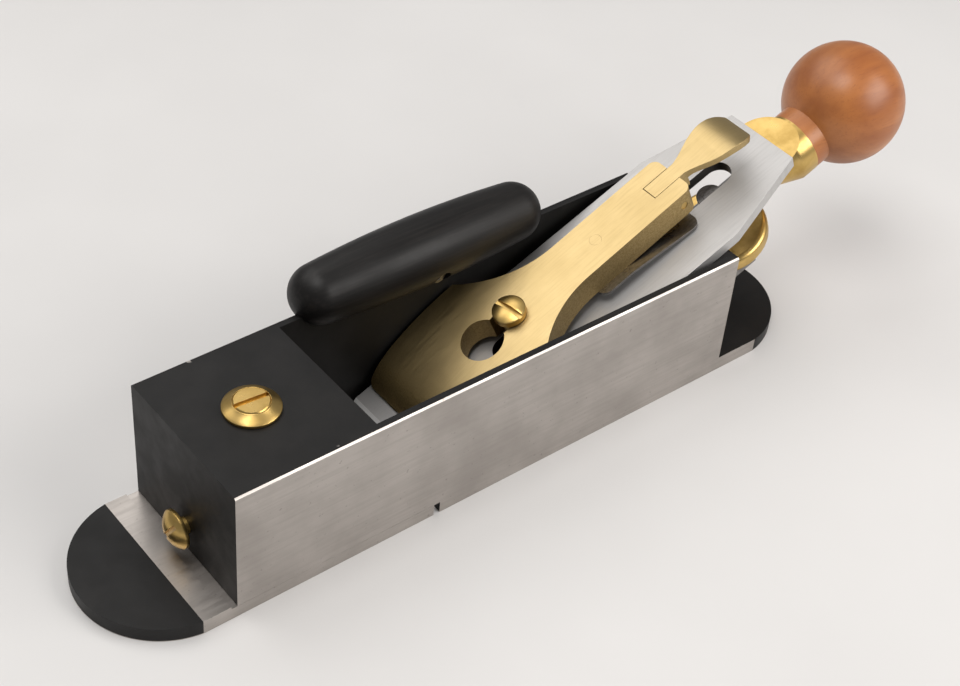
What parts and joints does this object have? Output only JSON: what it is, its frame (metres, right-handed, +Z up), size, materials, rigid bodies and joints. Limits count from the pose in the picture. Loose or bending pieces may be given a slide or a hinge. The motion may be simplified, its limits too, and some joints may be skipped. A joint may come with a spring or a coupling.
{
  "type": "hand plane",
  "caption": "Box-sided iron mitre plane with a low bed, bevel-up blade, brass lever cap with cam, sliding toe, ball tail knob and a dark side handle.",
  "frame": {"origin": "on the sole, at the middle of the body's length and width", "axes": "+X towards the toe, +Y towards the plane's left side, +Z up from the sole"},
  "size_m": [0.3517, 0.074, 0.0961],
  "materials": {
    "iron": "ground bright on the sides and sole, satin black paint elsewhere",
    "blade_steel": "surface ground, fine grain across the blade",
    "brass": "turned and polished, lightly aged",
    "cap_bronze": "linished on the top, as cast on the nose and flanks",
    "spring_steel": "polished, hardened and tempered dark",
    "dark_steel": "machined, oiled",
    "cherry": "turned, oiled, satin",
    "ebony": "turned, waxed, satin"
  },
  "bodies": {
    "plane_body": {"body": "iron", "tail_rod": "dark_steel", "rod_grub_screw": "dark_steel", "knob_ferrule": "brass", "ball_knob": "cherry", "lever_pivot_pin": "dark_steel"},
    "toe": {"toe_plate": "iron", "toe_lock_washer": "brass"},
    "toe_lock": {"toe_lock_screw": "brass"},
    "toe_screw": {"toe_adjusting_screw": "brass", "toe_screw_collar": "dark_steel"},
    "blade": {"blade": "blade_steel"},
    "cap": {"lever_cap": "cap_bronze", "cap_spring": "spring_steel", "spring_rivet": "cap_bronze", "cam_pin": "brass"},
    "cam": {"cam_lever": "cap_bronze"},
    "cap_screw": {"lever_cap_screw": "brass"},
    "wheel": {"adjuster_wheel": "brass", "adjuster_screw": "dark_steel", "adjuster_collar": "brass"},
    "nut": {"adjuster_nut": "brass"},
    "lever": {"adjuster_lever": "dark_steel"},
    "handle": {"side_handle": "ebony", "clamp_insert": "brass"},
    "clamp": {"clamp_screw": "dark_steel"}
  },
  "joints": [
    {"name": "toe_screw_turn", "type": "hinge", "parent": "plane_body", "child": "toe_screw", "pos_m": [0.105, 0, 0.015], "axis": [1, 0, 0], "range_deg": [-1145.2, 543.97]},
    {"name": "toe_slide", "type": "slide", "parent": "plane_body", "child": "toe", "axis": [1, 0, 0], "range_m": [-0.0019, 0.004]},
    {"name": "toe_lock_turn", "type": "hinge", "parent": "toe", "child": "toe_lock", "pos_m": [0.0795, 0, 0.055], "axis": [0, 0, 1], "range_deg": [0, 360]},
    {"name": "cap_slide", "type": "slide", "parent": "plane_body", "child": "cap", "axis": [-0.9239, 0, 0.3827], "range_m": [0, 0.0129]},
    {"name": "cam_turn", "type": "hinge", "parent": "cap", "child": "cam", "pos_m": [-0.09459, 0, 0.06734], "axis": [0, 1, 0], "range_deg": [0, 95]},
    {"name": "cap_screw_turn", "type": "hinge", "parent": "plane_body", "child": "cap_screw", "pos_m": [-0.02593, 0, 0.0427], "axis": [0.3827, 0, 0.9239], "range_deg": [0, 360]},
    {"name": "wheel_turn", "type": "hinge", "parent": "plane_body", "child": "wheel", "pos_m": [-0.12656, 0, 0.03676], "axis": [0.3827, 0, 0.9239], "range_deg": [-316.17, 1580.87]},
    {"name": "nut_slide", "type": "slide", "parent": "plane_body", "child": "nut", "axis": [0.3827, 0, 0.9239], "range_m": [-0.00351, 0.0007]},
    {"name": "lever_swing", "type": "hinge", "parent": "plane_body", "child": "lever", "pos_m": [-0.09642, 0, 0.0259], "axis": [0, -1, 0], "range_deg": [-1.26, 6.29]},
    {"name": "blade_slide", "type": "slide", "parent": "plane_body", "child": "blade", "axis": [-0.9239, 0, 0.3827], "range_m": [-0.0005, 0.0025]},
    {"name": "handle_lift", "type": "slide", "parent": "plane_body", "child": "handle", "axis": [0, 0, 1], "range_m": [0, 0.03]},
    {"name": "clamp_turn", "type": "hinge", "parent": "handle", "child": "clamp", "pos_m": [-0.0116, -0.025, 0.0506], "axis": [0, 1, 0], "range_deg": [0, 720]}
  ],
  "couplings": [
    {"joint": "toe_screw_turn", "follows": "toe_slide", "rad_per_m": -4947.4},
    {"joint": "wheel_turn", "follows": "blade_slide", "rad_per_m": 10927},
    {"joint": "nut_slide", "follows": "blade_slide", "ratio": -1.3913},
    {"joint": "lever_swing", "follows": "blade_slide", "rad_per_m": 43.478}
  ]
}
